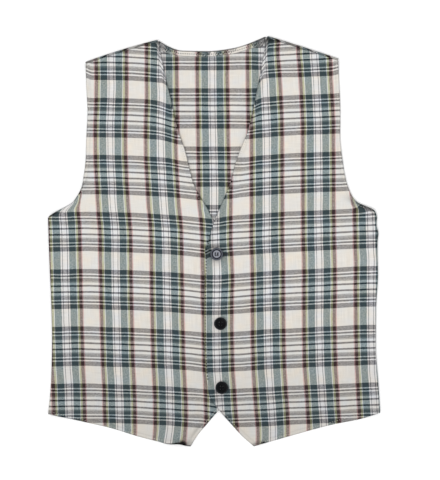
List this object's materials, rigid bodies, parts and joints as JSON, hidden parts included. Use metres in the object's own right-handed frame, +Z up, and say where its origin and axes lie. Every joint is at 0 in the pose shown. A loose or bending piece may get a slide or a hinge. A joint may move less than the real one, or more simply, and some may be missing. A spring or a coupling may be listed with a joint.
{
  "type": "suit waistcoat",
  "caption": "Checked suit waistcoat laid flat and buttoned, with a deep V neck, open armholes and a pointed front hem.",
  "frame": {"origin": "middle of the footprint, on the surface the garment lies on", "axes": "+Y from the hem to the neck, +Z up from the surface, +X towards the wearer's left"},
  "size_m": [0.4718, 0.583, 0.0071],
  "materials": {
    "cloth_back": "soft brushed cotton check, cream with teal, maroon, yellow, white and grey",
    "cloth_band": "the same cloth, turned under and edge-stitched",
    "cloth_front_right": "soft brushed cotton check, cream with teal, maroon, yellow, white and grey",
    "cloth_front_left": "soft brushed cotton check, cream with teal, maroon, yellow, white and grey",
    "button_pale": "moulded resin, dark rim and a pale grey dished face",
    "button_dark": "moulded resin, near black, softly polished"
  },
  "bodies": {
    "root": {"back": "cloth_back", "back_neck_hem": "cloth_band", "front_right": "cloth_front_right", "front_left": "cloth_front_left", "button_top": "button_pale", "button_middle": "button_dark", "button_bottom": "button_dark"}
  },
  "joints": []
}
